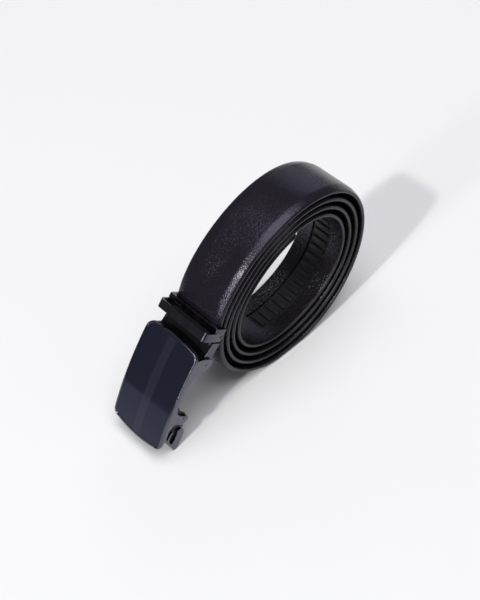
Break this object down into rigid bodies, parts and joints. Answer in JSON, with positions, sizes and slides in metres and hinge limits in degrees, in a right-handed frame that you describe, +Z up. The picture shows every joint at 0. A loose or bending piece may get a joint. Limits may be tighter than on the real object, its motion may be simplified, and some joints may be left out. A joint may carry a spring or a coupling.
{
  "type": "ratchet belt with plate buckle",
  "caption": "Coiled dark leather strap with a plate buckle, strap clamp and keeper loop, release lever and toothed tail track.",
  "frame": {"origin": "centre of the bounding box's footprint, on the table", "axes": "+X from the buckle toward the coil, +Y across the strap's width, +Z up"},
  "size_m": [0.1737, 0.0396, 0.1223],
  "materials": {
    "leather": "fine pebble emboss, satin",
    "track_rubber": "matt moulded",
    "gunmetal": "dark gunmetal plating, polished",
    "dark_metal": "black nickel plating, polished",
    "black_steel": "black, satin",
    "inlay_lacquer": "dark navy lacquer, glossy",
    "stripe_lacquer": "dark grey lacquer, glossy"
  },
  "bodies": {
    "belt": {"strap": "leather", "ratchet_track": "track_rubber", "clamp": "dark_metal", "keeper_loop": "dark_metal", "hinge_pin": "gunmetal"},
    "buckle": {"buckle_frame": "gunmetal", "face_inlay": "inlay_lacquer", "face_stripe": "stripe_lacquer", "lever_pin": "gunmetal"},
    "lever": {"release_lever": "gunmetal", "pawl_plate": "black_steel"}
  },
  "joints": [
    {"name": "buckle_hinge", "type": "hinge", "parent": "belt", "child": "buckle", "pos_m": [-0.048, 0, 0.05546], "axis": [0, 1, 0], "range_deg": [-20, 18]},
    {"name": "lever_pivot", "type": "hinge", "parent": "buckle", "child": "lever", "pos_m": [-0.06621, 0, 0.02345], "axis": [0, 1, 0], "range_deg": [0, 6], "stiffness_Nm_per_rad": 0.3, "springref_deg": -5.73}
  ]
}
